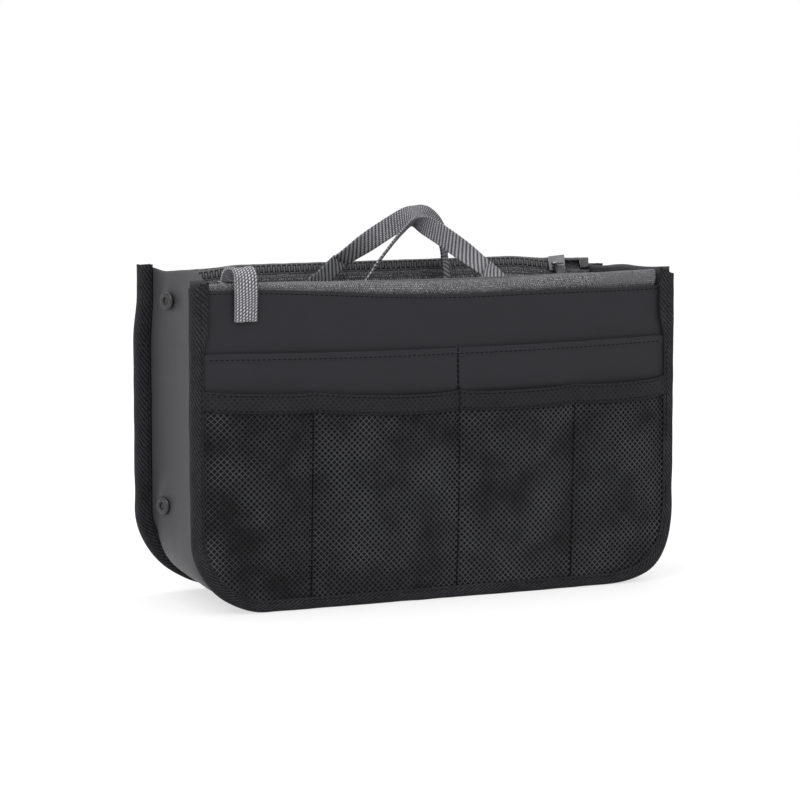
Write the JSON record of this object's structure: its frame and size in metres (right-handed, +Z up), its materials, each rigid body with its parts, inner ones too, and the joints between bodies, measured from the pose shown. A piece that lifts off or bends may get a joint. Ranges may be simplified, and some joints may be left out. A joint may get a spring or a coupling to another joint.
{
  "type": "purse organizer insert",
  "caption": "Soft bag insert with a zipped compartment on each side, an open middle, mesh and slip pockets, webbing handles and snaps that narrow it.",
  "frame": {"origin": "on the floor under the middle of the bag", "axes": "+X along the bag to the right seen from the front, -Y to the front, +Z up"},
  "size_m": [0.3, 0.0964, 0.2223],
  "materials": {
    "nylon": "smooth black nylon with a soft sheen",
    "mesh": "black net",
    "grosgrain": "ribbed black tape",
    "gusset": "grey coated nylon",
    "lining": "grey lining",
    "zip_tape": "grey woven zip tape",
    "teeth": "moulded grey plastic",
    "webbing": "ribbed grey webbing",
    "metal": "gloss black enamel"
  },
  "bodies": {
    "front_half": {"front_panel": "nylon", "front_slip_pocket": "nylon", "front_mesh_pocket": "mesh", "front_mesh_hem": "grosgrain", "front_inner_wall": "lining", "front_inner_pocket": "lining", "front_binding": "grosgrain", "front_zip_outer_tape": "zip_tape", "front_zip_inner_tape": "zip_tape", "front_zip_outer_teeth": "teeth", "front_zip_inner_teeth": "teeth", "front_zip_closed_end_tab": "grosgrain", "front_zip_open_end_tab": "grosgrain", "front_handle_left_end": "webbing", "front_handle_right_end": "webbing", "gusset": "gusset", "left_upper_snap_stud": "metal", "left_lower_snap_stud": "metal", "right_upper_snap_stud": "metal", "right_lower_snap_stud": "metal"},
    "rear_half": {"rear_panel": "nylon", "rear_slip_pocket": "nylon", "rear_mesh_pocket": "mesh", "rear_mesh_hem": "grosgrain", "rear_inner_wall": "lining", "rear_inner_pocket": "lining", "rear_binding": "grosgrain", "rear_zip_outer_tape": "zip_tape", "rear_zip_inner_tape": "zip_tape", "rear_zip_outer_teeth": "teeth", "rear_zip_inner_teeth": "teeth", "rear_zip_closed_end_tab": "grosgrain", "rear_zip_open_end_tab": "grosgrain", "rear_handle_left_end": "webbing", "rear_handle_right_end": "webbing", "left_upper_snap_socket": "metal", "left_lower_snap_socket": "metal", "right_upper_snap_socket": "metal", "right_lower_snap_socket": "metal"},
    "front_slider": {"front_slider": "metal"},
    "front_pull": {"front_pull_ribbon": "webbing"},
    "front_handle": {"front_handle_loop": "webbing"},
    "rear_slider": {"rear_slider": "metal"},
    "rear_pull": {"rear_pull_ribbon": "webbing"},
    "rear_handle": {"rear_handle_loop": "webbing"}
  },
  "joints": [
    {"name": "width_fold", "type": "slide", "parent": "front_half", "child": "rear_half", "axis": [0, -1, 0], "range_m": [0, 0.032], "deforming": ["gusset", "front_handle_loop", "rear_handle_loop"]},
    {"name": "front_zip", "type": "slide", "parent": "front_half", "child": "front_slider", "axis": [1, 0, 0], "range_m": [0, 0.25], "deforming": ["front_zip_outer_teeth", "front_zip_inner_teeth"]},
    {"name": "front_pull", "type": "hinge", "parent": "front_slider", "child": "front_pull", "pos_m": [-0.1257, -0.03273, 0.1774], "axis": [-1, 0, 0], "range_deg": [0, 150]},
    {"name": "front_handle", "type": "hinge", "parent": "front_half", "child": "front_handle", "pos_m": [0, -0.0265, 0.184], "axis": [1, 0, 0], "range_deg": [0, 90]},
    {"name": "rear_zip", "type": "slide", "parent": "rear_half", "child": "rear_slider", "axis": [-1, 0, 0], "range_m": [0, 0.24], "deforming": ["rear_zip_outer_teeth", "rear_zip_inner_teeth", "rear_pull_ribbon"]},
    {"name": "rear_pull", "type": "hinge", "parent": "rear_slider", "child": "rear_pull", "pos_m": [0.1157, 0.03273, 0.18024], "axis": [-1, 0, 0], "range_deg": [0, 150]},
    {"name": "rear_handle", "type": "hinge", "parent": "rear_half", "child": "rear_handle", "pos_m": [0, 0.0265, 0.18694], "axis": [-1, 0, 0], "range_deg": [0, 90]}
  ]
}
